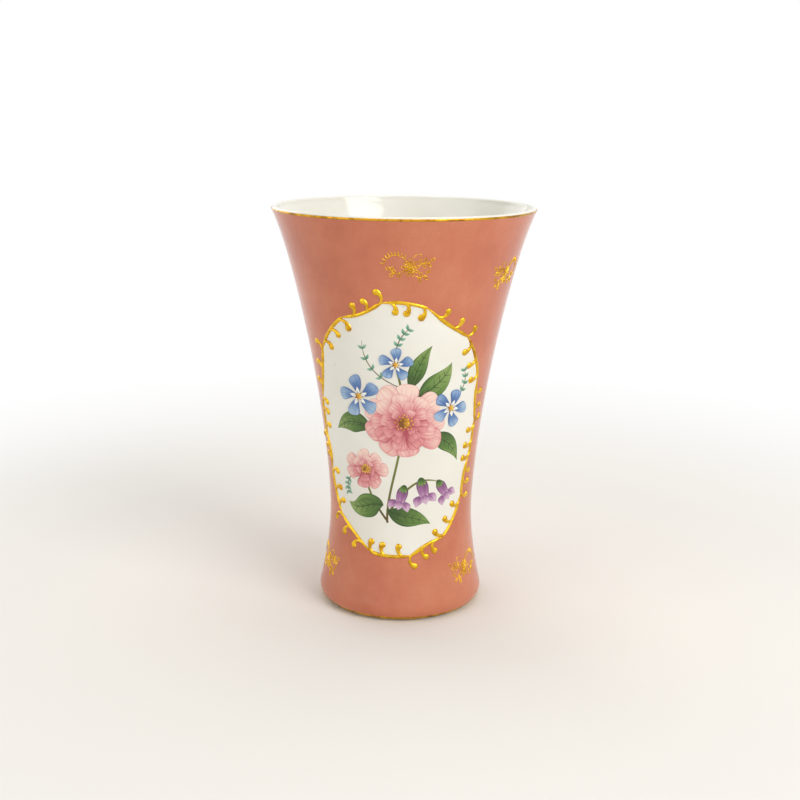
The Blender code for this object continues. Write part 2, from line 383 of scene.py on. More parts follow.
class Paint:
    """A Principled material and short ways to add nodes to it."""

    def __init__(self, name, roughness, metallic=0.0):
        self.material = bpy.data.materials.new(name)
        self.material.use_nodes = True
        self.tree = self.material.node_tree
        self.shader = self.tree.nodes["Principled BSDF"]
        self.shader.inputs["Roughness"].default_value = roughness
        self.shader.inputs["Metallic"].default_value = metallic

    def node(self, kind, links=(), **settings):
        """Add a node, set its options, and set or link its inputs."""
        made = self.tree.nodes.new(kind)
        for key, value in settings.items():
            setattr(made, key, value)
        for socket, source in links:
            if isinstance(source, (int, float)):
                made.inputs[socket].default_value = source
            else:
                self.tree.links.new(source, made.inputs[socket])
        return made

    def feed(self, socket, source):
        """Link a value to the shader."""
        self.tree.links.new(source, self.shader.inputs[socket])

    def place(self):
        """Coordinates in metres, in the vase's own frame."""
        return self.node("ShaderNodeTexCoord").outputs["Object"]

    def noise(self, vector, scale, detail, roughness=0.5):
        """Cloudy noise from 0 to 1."""
        links = (("Vector", vector), ("Scale", scale), ("Detail", detail), ("Roughness", roughness))
        return self.node("ShaderNodeTexNoise", links).outputs["Fac"]

    def maths(self, operation, first, second=0.0, third=0.0):
        """One step of arithmetic."""
        made = self.node("ShaderNodeMath", ((0, first), (1, second), (2, third)), operation=operation)
        return made.outputs[0]

    def ramp(self, source, stops):
        """Colours along a value; stops are (position, colour)."""
        made = self.node("ShaderNodeValToRGB", (("Fac", source),))
        track = made.color_ramp
        while len(track.elements) < len(stops):
            track.elements.new(0.5)
        for element, (position, colour) in zip(track.elements, stops):
            element.position = position
            element.color = (*colour, 1.0)
        return made.outputs["Color"]

    def blend(self, share, first, second):
        """Mix a linked colour with a plain or linked one."""
        made = self.node("ShaderNodeMix", (("Factor", share),), data_type="RGBA")
        self.tree.links.new(first, made.inputs[MIX_FIRST])
        if isinstance(second, tuple):
            made.inputs[MIX_SECOND].default_value = (*second, 1.0)
        else:
            self.tree.links.new(second, made.inputs[MIX_SECOND])
        return made.outputs[MIX_RESULT]

    def spread(self, source, low, high):
        """Carry a 0 to 1 value to another range."""
        made = self.node("ShaderNodeMapRange", (("Value", source), ("To Min", low), ("To Max", high)))
        return made.outputs[0]

    def bump(self, source, distance):
        """Raise the surface by a value."""
        links = (("Height", source), ("Distance", distance), ("Strength", 1.0))
        self.feed("Normal", self.node("ShaderNodeBump", links).outputs[0])


def srgb(red, green, blue):
    """Colour written as it looks on a screen, 0 to 255, for a shader."""
    return tuple(((value / 255 + 0.055) / 1.055) ** 2.4 for value in (red, green, blue))


def porcelain_paint():
    """White glaze with faint clouds and a few kiln specks, and a foot ring of bare clay."""
    paint = Paint("porcelain_glaze", roughness=0.1)
    place = paint.place()
    cloud = paint.noise(place, scale=22, detail=3)
    white = paint.ramp(cloud, ((0.3, srgb(232, 230, 219)), (0.7, srgb(240, 239, 231))))
    speck = paint.maths("GREATER_THAN", paint.noise(place, scale=420, detail=1), SPECK_LEVEL)
    white = paint.blend(paint.maths("MULTIPLY", speck, SPECK_SHARE), white, srgb(120, 95, 70))
    height = paint.node("ShaderNodeSeparateXYZ", (("Vector", place),)).outputs["Z"]
    ragged = paint.maths("MULTIPLY", paint.noise(place, scale=160, detail=3), BARE_RAGGEDNESS)
    bare = paint.maths("LESS_THAN", paint.maths("SUBTRACT", height, ragged), BARE_HEIGHT)
    grit = paint.noise(place, scale=300, detail=4)
    clay = paint.ramp(grit, ((0.3, srgb(196, 184, 160)), (0.7, srgb(226, 219, 203))))
    paint.feed("Base Color", paint.blend(bare, white, clay))
    gloss = paint.spread(paint.noise(place, scale=35, detail=2), low=0.06, high=0.14)
    rough_clay = paint.maths("MULTIPLY", bare, BARE_ROUGHNESS)
    paint.feed("Roughness", paint.maths("MAXIMUM", gloss, rough_clay))
    paint.bump(paint.noise(place, scale=90, detail=2), distance=0.00012)
    return paint.material


def ground_paint():
    """Salmon enamel, laid on unevenly: soft clouds and fine mottling."""
    paint = Paint("salmon_enamel", roughness=0.14)
    place = paint.place()
    cloud = paint.noise(place, scale=26, detail=4, roughness=0.6)
    shades = ((0.28, srgb(190, 106, 76)), (0.5, srgb(203, 120, 88)), (0.74, srgb(214, 136, 103)))
    mottle = paint.spread(paint.noise(place, scale=900, detail=2), low=0.0, high=0.22)
    paint.feed("Base Color", paint.blend(mottle, paint.ramp(cloud, shades), srgb(170, 80, 60)))
    paint.feed("Roughness", paint.spread(paint.noise(place, scale=60, detail=3), low=0.10, high=0.20))
    paint.bump(paint.noise(place, scale=140, detail=3), distance=0.00010)
    return paint.material


def gold_paint(name, deep, bright, roughness):
    """Burnished gilding, thinner and browner in places, with brush marks."""
    paint = Paint(name, roughness, metallic=1.0)
    place = paint.place()
    wear = paint.noise(place, scale=220, detail=4, roughness=0.65)
    paint.feed("Base Color", paint.ramp(wear, ((0.32, deep), (0.55, bright))))
    strokes = paint.noise(place, scale=480, detail=3)
    paint.feed("Roughness", paint.spread(strokes, low=roughness - 0.08, high=roughness + 0.14))
    paint.bump(paint.noise(place, scale=700, detail=2), distance=0.00006)
    return paint.material


# Body

def body_profile():
    """Closed profile of the porcelain, from under the foot over the lip to the floor inside."""
    stand_inner = BASE_RADIUS - STAND_WIDTH
    recess_radii = spaced(RECESS_MIDDLE, stand_inner - RECESS_SLOPE, RECESS_STEPS)
    profile = [(0.0, RECESS_DEPTH)]
    profile += [(radius, RECESS_DEPTH) for radius in recess_radii]
    profile += [(stand_inner - STAND_EDGE, STAND_EDGE), (stand_inner, 0.0)]
    profile.append((BASE_RADIUS - STAND_EDGE, 0.0))
    for z in spaced(STAND_EDGE, TOE_HEIGHT, TOE_STEPS) + spaced(TOE_HEIGHT, LIP_HEIGHT, WALL_STEPS)[1:]:
        share = min(1.0, z / TOE_HEIGHT)
        profile.append(lifted(z, PORCELAIN_FACE * share))
    profile += [lip_point(angle, PORCELAIN_FACE) for angle in spaced(0, math.pi, LIP_STEPS)[1:]]
    fillet_height = FLOOR_HEIGHT + FLOOR_FILLET
    profile += [(inner_radius(z), z) for z in spaced(LIP_HEIGHT, fillet_height, HOLLOW_STEPS)[1:]]
    fillet_centre = inner_radius(fillet_height) - FLOOR_FILLET
    for angle in spaced(0, math.pi / 2, FILLET_STEPS)[1:]:
        radius = fillet_centre + FLOOR_FILLET * math.cos(angle)
        profile.append((radius, fillet_height - FLOOR_FILLET * math.sin(angle)))
    profile += [(fillet_centre * share, FLOOR_HEIGHT) for share in FLOOR_SHARES]
    return profile


def build_body():
    """The porcelain itself, turned from its profile."""
    shape = Shape()
    rows = []
    for radius, z in body_profile():
        if radius == 0:
            rows.append([shape.point((0, 0, z))] * SEGMENTS)
        else:
            rows.append([shape.point(turned(angle, (radius, z))) for angle in once_round(SEGMENTS)])
    shape.grid(rows, wrap=True)
    shape.build("porcelain_body", porcelain_paint(), "porcelain", ["vase_body"])


# Medallion and coloured ground

def stroke_side(index):
    """A stroke curls to the right of its travel, into the medallion, or to the left, out of it."""
    return -1 if index % 2 == 0 else 1


def border_turn(index, share):
    """Turn about the medallion's middle at a share of one stroke's length."""
    passed = sum(STROKE_SHARES[:index]) + share * STROKE_SHARES[index]
    return STROKE_START_ANGLE - 2 * math.pi * passed / sum(STROKE_SHARES)


def border_station(turn):
    """Stroke, and share of its length, at a turn about the medallion's middle."""
    left = (STROKE_START_ANGLE - turn) % (2 * math.pi) * sum(STROKE_SHARES) / (2 * math.pi)
    index = 0
    while left >= STROKE_SHARES[index]:
        left -= STROKE_SHARES[index]
        index += 1
    return index, left / STROKE_SHARES[index]


def border_point(index, share):
    """Angle and height on the outline, an oval that is squarer below and dips along the outer strokes."""
    turn = border_turn(index, share)
    power = 2 / (UPPER_OVAL_POWER if math.sin(turn) > 0 else LOWER_OVAL_POWER)
    dip = MEDALLION_DIP_SHARE if stroke_side(index) > 0 else 0
    reach = 1 - dip * math.sin(math.pi * share)
    across = reach * math.copysign(abs(math.cos(turn)) ** power, math.cos(turn))
    upward = reach * math.copysign(abs(math.sin(turn)) ** power, math.sin(turn))
    half_height = (MEDALLION_TOP - MEDALLION_BOTTOM) / 2
    return MEDALLION_HALF_ANGLE * across, MEDALLION_MIDDLE + half_height * upward


def ground_border(turn, bottom, top):
    """Place at a turn along the ground's outer edge, opened out flat: one side for each quarter."""
    corners = ((math.pi, bottom), (math.pi, top), (-math.pi, top), (-math.pi, bottom))
    quarters = (turn / (math.pi / 2) + 0.5) % 4
    side = int(quarters)
    first = Vector(corners[side])
    return first.lerp(Vector(corners[(side + 1) % 4]), quarters - side)


def ground_sheet(shape, lift):
    """Rows of points from the medallion's edge out to the ground's outer edge."""
    bottom = FOOT_BAND_START + FOOT_BAND_HEIGHT / 2
    top = LIP_HEIGHT - RIM_BAND_HEIGHT / 2
    rows = []
    for swing in spaced(0, math.pi / 2, GROUND_RINGS):
        ring = math.sin(swing)
        row = []
        for angle in once_round(GROUND_STEPS):
            inner_angle, inner_z = border_point(*border_station(-angle))
            outer_angle, outer_z = ground_border(-angle, bottom, top)
            place = (mix(inner_angle, outer_angle, ring), mix(inner_z, outer_z, ring))
            row.append(shape.point(surface_point(*place, lift)))
        rows.append(row)
    return rows


def weld(piece):
    """Close the seam at the back, where the sheet's two ends meet."""
    mesh_data = bmesh.new()
    mesh_data.from_mesh(piece.data)
    bmesh.ops.remove_doubles(mesh_data, verts=mesh_data.verts, dist=WELD_DISTANCE)
    mesh_data.to_mesh(piece.data)
    mesh_data.free()
    finish_mesh(piece.data)


def build_ground():
    """Thin enamel shell round the vase, with the medallion's window left open."""
    shape = Shape()
    outside = ground_sheet(shape, ENAMEL_FACE)
    inside = ground_sheet(shape, BURIED)
    shape.grid(outside, wrap=True)
    shape.grid(inside, wrap=True, flip=True)
    shape.grid([inside[0], outside[0]], wrap=True)
    eighth = GROUND_STEPS // 8
    for corner in (eighth, 5 * eighth):
        edge = slice(corner, corner + 2 * eighth + 1)
        shape.grid([outside[-1][edge], inside[-1][edge]])
    weld(shape.build("enamel_ground", ground_paint(), "ground_enamel", ["ground_coat"]))


# Gilt bands

def foot_band_point(share, lift):
    """Profile point of the line round the toe, from its lower edge at 0 to its upper edge at 1."""
    return lifted(FOOT_BAND_START + FOOT_BAND_HEIGHT * share, lift)


def rim_band_point(share, lift):
    """Profile point of the line on the lip, from its lower edge at 0 to its upper edge at 1."""
    if share < 0.5:
        return lifted(LIP_HEIGHT - RIM_BAND_HEIGHT * (1 - 2 * share), lift)
    return lip_point(RIM_BAND_ANGLE * (2 * share - 1), lift)


def build_band(name, node, band_point, waver, material):
    """Painted gold line: a thin domed strip whose lower edge wavers with the hand."""
    shape = Shape()
    phases = [chance.uniform(0, 2 * math.pi) for _ in BAND_WAVES]
    angles = once_round(SEGMENTS)
    rows = []
    for share in spaced(0, 1, BAND_STEPS):
        dome = math.sin(math.pi * share) ** BAND_DOME_POWER
        lift = mix(PORCELAIN_FACE, ENAMEL_FACE + GILT_BAND, dome)
        row = []
        for angle in angles:
            waves = [math.sin(angle * count + phase) for count, phase in zip(BAND_WAVES, phases)]
            lower_edge = waver * (sum(waves) / len(waves))
            row.append(shape.point(turned(angle, band_point(mix(lower_edge, 1, share), lift))))
        rows.append(row)
    for share in (1, 0.5, 0):
        rows.append([shape.point(turned(angle, band_point(share, BURIED))) for angle in angles])
    shape.grid(rows + rows[:1], wrap=True)
    shape.build(name, material, "gilding", [node])


# Raised scroll border

def border_heading(index, share):
    """Direction of travel over the wall, clockwise round the medallion."""
    angle_before, z_before = border_point(index, share - HEADING_STEP)
    angle_after, z_after = border_point(index, share + HEADING_STEP)
    radius = outer_radius((z_before + z_after) / 2)
    return math.atan2(z_after - z_before, radius * (angle_after - angle_before))


def add_bead(shape, path, base, arcs):
    """Half-round bead along a path of (angle, z, heading, width, height) stations on the wall."""
    rows = []
    for angle, z, heading, width, height in path:
        row = []
        for bend in spaced(0, math.pi, arcs):
            place = step_along(angle, z, heading + math.pi / 2, -math.cos(bend) * width / 2)
            row.append(shape.point(surface_point(*place, base + math.sin(bend) * height)))
        rows.append(row)
    shape.grid(rows, wrap=True, flip=True)
    shape.faces.append(rows[0])
    shape.faces.append(rows[-1][::-1])


def line_path(index):
    """Main line of a stroke, thinner at its two ends and a little uneven along its way."""
    swing = chance.uniform(0, 2 * math.pi)
    path = []
    for share in spaced(0, 1, LINE_STEPS):
        start = LINE_START_SHARE + LINE_START_GROWTH * share
        end = LINE_END_SHARE + LINE_END_GROWTH * (1 - share)
        taper = min(1.0, start, end)
        uneven = taper * (1 + LINE_UNEVEN_SHARE * math.sin(LINE_UNEVEN_TURN * share + swing))
        heading = border_heading(index, share)
        path.append((*border_point(index, share), heading, LINE_WIDTH * uneven, LINE_HEIGHT * taper))
    return path


def curl_path(index, number):
    """Comma that leaves the line along its travel, bends away evenly and swells to a round end."""
    first_root = INNER_CURL_SHARE if stroke_side(index) < 0 else OUTER_CURL_SHARE
    root = first_root + number * CURL_SPACING_SHARE
    angle, z = border_point(index, root)
    first_heading = border_heading(index, root)
    length = CURL_LENGTH * (1 + number * CURL_GROWTH_SHARE) * chance.uniform(*CURL_SIZE_RANGE)
    bend_total = stroke_side(index) * CURL_ANGLE * chance.uniform(*CURL_ANGLE_RANGE)
    dot = DOT_RADIUS * chance.uniform(*CURL_SIZE_RANGE)
    path = []
    for step in range(CURL_STEPS + 1):
        share = step / CURL_STEPS
        size = share ** DOT_POWER
        heading = first_heading + bend_total * share
        width = mix(CURL_WIDTH, 2 * dot, size)
        path.append((angle, z, heading, width, mix(CURL_HEIGHT, DOT_HEIGHT, size)))
        if step < CURL_STEPS:
            travel = first_heading + bend_total * (share + 0.5 / CURL_STEPS)
            angle, z = step_along(angle, z, travel, length / CURL_STEPS)
    for bend in spaced(0, DOT_CAP_ANGLE, DOT_CAP_STEPS)[1:]:
        place = step_along(angle, z, heading, dot * math.sin(bend))
        width = 2 * dot * math.cos(bend)
        path.append((*place, heading, width, DOT_HEIGHT * math.cos(bend) ** DOT_CAP_POWER))
    return path


def build_border(material):
    """Sixteen gilt strokes, curling in turn into the medallion and out of it."""
    for index in range(STROKE_COUNT):
        shape = Shape()
        add_bead(shape, line_path(index), BURIED, BORDER_ARCS)
        for number in range(CURL_COUNT):
            add_bead(shape, curl_path(index, number), BURIED, BORDER_ARCS)
        name = f"scroll_stroke_{index + 1:02d}"
        shape.build(f"gilt_{name}", material, "gilding", [name])


# Curves of the sprays and the flowers: spots are millimetres right of and above a middle

def curve(points, share):
    """Spot on the smooth curve that a few points draw."""
    spots = [Vector(point) for point in points]
    while len(spots) > 1:
        spots = [first.lerp(second, share) for first, second in zip(spots, spots[1:])]
    return spots[0]


def curve_heading(points, share):
    """Direction of a curve, anticlockwise from the right."""
    ahead = curve(points, min(1, share + CURVE_STEP)) - curve(points, max(0, share - CURVE_STEP))
    return math.atan2(ahead.y, ahead.x)


def polar(centre, radius, angle, squash=1.0):
    """Spot at a distance and an angle from a middle."""
    return Vector(centre) + Vector((math.cos(angle), math.sin(angle) * squash)) * radius


# Thin gold sprays

def gild(shape, middle, points, width=SPRAY_LINE):
    """Thin gold line on the enamel along a curve."""
    middle_angle, middle_z = middle
    path = []
    for share in spaced(0, 1, SPRAY_STEPS):
        spot = curve(points, share) * MM * SPRAY_SCALE
        z = middle_z + spot.y
        start = SPRAY_TIP_SHARE + SPRAY_TIP_GROWTH * share
        end = SPRAY_TIP_SHARE + SPRAY_TIP_GROWTH * (1 - share)
        taper = min(1.0, start, end)
        angle = middle_angle + spot.x / outer_radius(z)
        path.append((angle, z, curve_heading(points, share), width * taper, SPRAY_HEIGHT))
    add_bead(shape, path, ENAMEL_FACE - SPRAY_SINK, SPRAY_ARCS)


def gild_loop(shape, middle, root, length, lean):
    """Small petal or leaf drawn as two bowed lines and a vein."""
    tip = polar(root, length, lean)
    for side in (-1, 1):
        bow = polar(polar(root, length * 0.55, lean), length * 0.5, lean + side * math.pi / 2)
        gild(shape, middle, (root, bow, tip))
    gild(shape, middle, (root, polar(root, length * 0.7, lean)), SPRAY_VEIN)


def gild_spray(shape, middle, mirror):
    """Arched twig with buds, a rosette of three rings, a tendril and three leafy tails."""
    def side_spots(*spots):
        return [Vector((across * mirror, upward)) for across, upward in spots]

    def side_lean(degrees):
        return math.radians(degrees if mirror > 0 else 180 - degrees)

    twig = side_spots((1.5, 1.5), (-3, 7.5), (-11, 7.5), (-12.5, -1.0))
    gild(shape, middle, twig)
    for share in spaced(0.15, 0.93, 8):
        root = curve(twig, share)
        out = side_lean(mix(60, 168, share))
        gild(shape, middle, (root, polar(root, 1.2, out + 0.3), polar(root, 2.4, out)), SPRAY_BUD)
    heart = side_spots((2.5, -1.6))[0]
    for count, root_radius, length in ((9, 2.3, 3.0), (7, 1.1, 1.9), (4, 0.2, 1.3)):
        for angle in once_round(count):
            lean = angle + root_radius
            gild_loop(shape, middle, polar(heart, root_radius, lean), length, lean)
    gild(shape, middle, side_spots((3.5, 3.2), (5.0, 7.4), (9.6, 7.6), (8.6, 4.2)))
    right_tail = side_spots((7.4, -0.6), (9.5, 2.6), (11.5, 0.2), (13.6, 2.2))
    left_tail = side_spots((-2.2, -3.2), (-4.5, -6), (-8.5, -5), (-8.2, -2.4))
    low_tail = side_spots((5.4, -6.0), (7.5, -7.8), (9.5, -7.0), (11.5, -4.8))
    tails = ((right_tail, ((0.15, 100), (0.35, -65), (0.55, 85), (0.75, -50), (1.0, 35))),
             (left_tail, ((0.2, 275), (0.4, 130), (0.6, 225), (0.8, 80), (1.0, 165))),
             (low_tail, ((0.3, -75), (0.5, 95), (0.75, -40), (1.0, 50))))
    for tail, leaves in tails:
        gild(shape, middle, tail)
        for share, degrees in leaves:
            gild_loop(shape, middle, curve(tail, share), 3.2, side_lean(degrees))


def build_sprays(material):
    """Small gold sprays, five under the rim and three above the foot."""
    shape = Shape()
    for degrees, height, mirror in SPRAYS:
        gild_spray(shape, (math.radians(degrees), height * MM), mirror)
    shape.build("gilt_sprays", material, "gilding")


# Painted flowers

def petal_outline(along):
    """Narrow root, broad shoulders and a round tip."""
    return max(0.05, along ** 0.75 * (1 - along ** 6) ** 0.5)


def leaf_outline(along):
    """Pointed at both ends and broadest below the middle."""
    return max(0.04, math.sin(math.pi * along ** 0.8))


def line_outline(along):
    """Even line that runs out thin."""
    return min(1.0, 0.3 + 2.5 * (1 - along))


def bell_outline(along):
    """Rounded shoulders, a slight waist and a flared mouth."""
    return max(0.1, 0.75 * math.sin(math.pi * min(1, along * 1.1) ** 0.7) ** 0.6 + 0.75 * along ** 5)


def dot_outline(along):
    """Round, with blunt ends."""
    return max(0.08, 2 * math.sqrt(along * (1 - along)))


def around(rows):
    """Edge of a grid, once round."""
    right = [row[-1] for row in rows]
    left = [row[0] for row in rows]
    return rows[0][:-1] + right[:-1] + rows[-1][:0:-1] + left[:0:-1]


class Painting:
    """Flowers on the medallion: thin patches of enamel, one shape for each colour."""

    def __init__(self, colours):
        self.shapes = {colour: Shape() for colour in colours}

    def mark(self, colour, points, half_width, outline, layer, tone=0.5):
        """One brush mark along a curve; a higher layer lies over a lower one."""
        shape = self.shapes[colour]
        spots = [curve(points, share) for share in spaced(0, 1, MARK_CHORDS)]
        length = sum((after - before).length for before, after in zip(spots, spots[1:]))
        length_steps = max(LEAST_LENGTH_STEPS, round(length / MARK_CELL))
        width_steps = max(LEAST_WIDTH_STEPS, round(2 * half_width / MARK_CELL))
        touches = []
        for step in range(length_steps + 1):
            along = (1 - math.cos(math.pi * step / length_steps)) / 2
            across_heading = curve_heading(points, along) + math.pi / 2
            row = []
            for across in spaced(-1, 1, width_steps):
                spot = polar(curve(points, along), half_width * outline(along) * across, across_heading)
                row.append((spot, (along, (across + 1) / 2)))
            touches.append(row)

        def lay(touch, lift):
            spot, brush = touch
            z = MEDALLION_MIDDLE + spot.y * MM
            return shape.point(surface_point(spot.x * MM / outer_radius(z), z, lift), brush, tone)

        face = [[lay(touch, PORCELAIN_FACE + layer * COAT_STEP) for touch in row] for row in touches]
        base = [[lay(touch, BURIED) for touch in row] for row in touches]
        shape.grid(face, flip=True)
        shape.grid([around(face), around(base)], wrap=True)
        shape.grid(base)

    def dot(self, colour, centre, radius, layer, tone):
        """Round touch of the brush."""
        ends = (polar(centre, radius, math.pi), polar(centre, radius, 0))
        self.mark(colour, ends, radius, dot_outline, layer, tone)

    def leaf(self, points, half_width, layer, tone):
        """Leaf with a midrib and side veins."""
        self.mark("leaf", points, half_width, leaf_outline, layer, tone)
        self.mark("rib", points, RIB_HALF_WIDTH, line_outline, layer + 1)
        for along in VEIN_SHARES:
            root = curve(points, along)
            heading = curve_heading(points, along)
            reach = half_width * leaf_outline(along)
            for side in (-1, 1):
                start = polar(root, VEIN_START, heading + side * math.pi / 2)
                bow = polar(root, reach * VEIN_BOW_SHARE, heading + side * VEIN_BOW_LEAN)
                tip = polar(root, reach * VEIN_TIP_SHARE, heading + side * VEIN_TIP_LEAN)
                self.mark("rib", (start, bow, tip), VEIN_HALF_WIDTH, line_outline, layer + 1)

    def blossom(self, centre, radius, rows, layer):
        """Open pink flower: rows of petals as (reach, count, breadth), round golden stamens."""
        for row, (reach, count, breadth) in enumerate(rows):
            for petal in range(count):
                even_angle = 2 * math.pi * (petal + PETAL_STAGGER * row) / count
                angle = even_angle + chance.uniform(*PETAL_TURN_RANGE)
                tip = radius * reach * chance.uniform(*PETAL_REACH_RANGE)
                sway = chance.uniform(*PETAL_SWAY_RANGE)
                points = (polar(centre, radius * 0.05, angle),
                          polar(centre, tip * 0.6, angle - sway, BLOSSOM_SQUASH),
                          polar(centre, tip, angle + sway * 0.5, BLOSSOM_SQUASH))
                tone = PETAL_TONE + PETAL_TONE_RISE * math.sin(angle) - PETAL_TONE_DROP * row
                tone += chance.uniform(*PETAL_TONE_RANGE)
                self.mark("pink", points, radius * breadth, petal_outline, layer, tone)
                layer += 1
        self.dot("gold", centre, radius * 0.13, layer, 0.2)
        for number in range(STAMEN_COUNT):
            reach = radius * (0.08 + 0.15 * math.sqrt(number / STAMEN_COUNT))
            spot = polar(centre, reach, number * STAMEN_TURN, BLOSSOM_SQUASH)
            self.dot("gold", spot, STAMEN_RADIUS, layer + 1, chance.uniform(*STAMEN_TONE_RANGE))

    def pinwheel(self, centre, radius, turn, layer):
        """Blue five-petalled flower with a white eye and a golden middle."""
        for petal, petal_turn in enumerate(once_round(PINWHEEL_PETALS)):
            angle = turn + petal_turn
            points = (polar(centre, radius * 0.1, angle), polar(centre, radius * 0.6, angle + 0.05),
                      polar(centre, radius, angle + 0.24))
            tone = chance.uniform(*PINWHEEL_TONE_RANGE)
            self.mark("blue", points, radius * 0.42, petal_outline, layer + petal, tone)
            ray = (polar(centre, radius * 0.08, angle), polar(centre, radius * 0.46, angle + 0.08))
            self.mark("white", ray, radius * 0.09, leaf_outline, layer + 6)
        self.dot("gold", centre, radius * 0.15, layer + 7, 0.6)
        for number in range(PINWHEEL_GRAINS):
            spot = polar(centre, radius * 0.19, number * PINWHEEL_GRAIN_TURN)
            self.dot("gold", spot, PINWHEEL_GRAIN_RADIUS, layer + 8, 0.15)

    def bell(self, top, lean, length, layer):
        """Violet bell that hangs from a green cap."""
        aside = lean + math.pi / 2
        self.mark("violet", (top, polar(top, length, lean)), length * 0.34, bell_outline, layer, 0.4)
        for number, side in enumerate((-0.62, 0.62, 0)):
            root = polar(polar(top, length * 0.72, lean), length * 0.36 * side, aside)
            tip = polar(polar(top, length * 1.18, lean), length * 0.75 * side, aside)
            tone = 0.62 + 0.1 * number
            self.mark("violet", (root, tip), length * 0.2, leaf_outline, layer + 1 + number, tone)
        for side in (-0.5, 0.5, 0):
            start = polar(top, -length * 0.1, lean + side * 0.2)
            tip = polar(top, length * 0.34, lean + side)
            self.mark("leaf", (start, tip), length * 0.1, leaf_outline, layer + 5, 0.4)

    def sprig(self, points, layer):
        """Thin twig with pairs of small leaves."""
        self.mark("stem", points, TWIG_HALF_WIDTH, line_outline, layer, 0.3)
        for along in SPRIG_SHARES:
            root = curve(points, along)
            heading = curve_heading(points, along)
            for side in (-1, 1):
                start = polar(root, VEIN_START, heading + side * math.pi / 2)
                tip = polar(root, SPRIG_LEAF_LENGTH, heading + side * SPRIG_LEAF_LEAN)
                tone = chance.uniform(*SPRIG_TONE_RANGE)
                self.mark("teal", (start, tip), SPRIG_LEAF_HALF_WIDTH, leaf_outline, layer + 1, tone)


def enamel_paint(name, dark, middle, light, streaks, contour):
    """Brushed enamel: shaded from root to tip, streaked along the mark, darker round its edge."""
    paint = Paint(name, roughness=0.16)
    brush = paint.node("ShaderNodeUVMap", uv_map="brush").outputs["UV"]
    tone = paint.node("ShaderNodeAttribute", attribute_name="tone").outputs["Fac"]
    parts = paint.node("ShaderNodeSeparateXYZ", (("Vector", brush),)).outputs
    grain_links = (("X", paint.maths("MULTIPLY", parts["X"], GRAIN_LENGTH_SCALE)),
                   ("Y", paint.maths("MULTIPLY", parts["Y"], streaks)),
                   ("Z", paint.maths("MULTIPLY", tone, GRAIN_TONE_SCALE)))
    grain_place = paint.node("ShaderNodeCombineXYZ", grain_links).outputs[0]
    grain = paint.noise(grain_place, scale=1.0, detail=3)
    shade = paint.maths("ADD", parts["X"], paint.spread(grain, -GRAIN_SHADE, GRAIN_SHADE))
    shade = paint.maths("ADD", shade, paint.spread(tone, -TONE_SHADE, TONE_SHADE))
    side = paint.maths("ABSOLUTE", paint.maths("MULTIPLY_ADD", parts["Y"], 2.0, -1.0))
    edge = paint.maths("POWER", paint.maths("MAXIMUM", side, parts["X"]), CONTOUR_POWER)
    shade = paint.maths("SUBTRACT", shade, paint.maths("MULTIPLY", edge, contour))
    paint.feed("Base Color", paint.ramp(shade, ((0.05, dark), (0.5, middle), (0.95, light))))
    return paint.material


